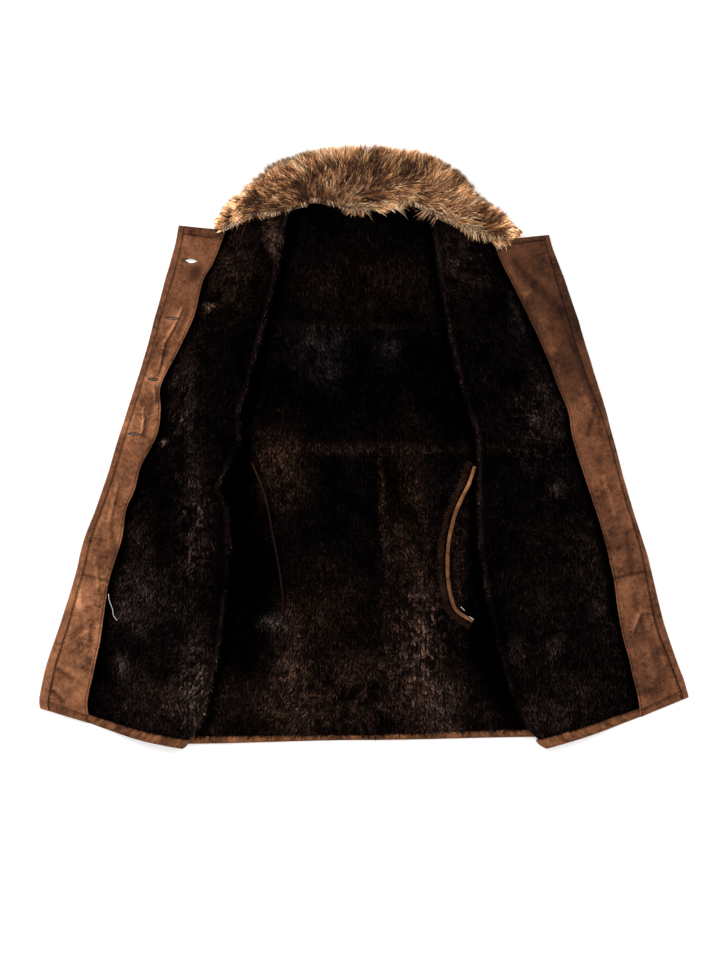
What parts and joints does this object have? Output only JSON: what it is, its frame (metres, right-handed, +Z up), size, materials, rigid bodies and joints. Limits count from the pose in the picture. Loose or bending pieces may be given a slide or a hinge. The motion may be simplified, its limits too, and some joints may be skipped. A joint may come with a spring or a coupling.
{
  "type": "shearling coat lying open",
  "caption": "Three-quarter shearling coat laid open on its back, dark fur lining up, suede facings at its edges and a long-haired fur collar turned up.",
  "frame": {"origin": "on the surface the coat lies on, under the middle of its whole outline", "axes": "+X towards the wearer's left, +Y from the hem to the collar, +Z up off the surface"},
  "size_m": [1.0431, 0.9677, 0.0456],
  "materials": {
    "suede": "napped brown suede, matt",
    "shearling": "dense sheared dark-brown wool pile",
    "collar_fur": "long tan fur with brown streaks and pale tips",
    "raw_hide": "cut edge of undyed hide",
    "button": "polished dark horn"
  },
  "bodies": {
    "root": {"front_yoke_r": "shearling", "front_body_r": "shearling", "front_skirt_r": "shearling", "back_skirt_r": "shearling", "pocket_bag_r": "shearling", "hem_front_r": "suede", "hem_back_r": "suede", "facing_upper_r": "suede", "facing_lower_r": "suede", "edge_r": "suede", "sleeve_r": "suede", "pocket_seam_r": "raw_hide", "front_yoke_l": "shearling", "front_body_l": "shearling", "front_skirt_l": "shearling", "back_skirt_l": "shearling", "pocket_bag_l": "shearling", "hem_front_l": "suede", "hem_back_l": "suede", "facing_upper_l": "suede", "facing_lower_l": "suede", "edge_l": "suede", "sleeve_l": "suede", "pocket_seam_l": "raw_hide", "back_yoke": "shearling", "back_body": "shearling", "under_collar": "suede", "collar_fur": "collar_fur", "button_1": "button", "button_2": "button", "button_3": "button", "button_4": "button"}
  },
  "joints": []
}
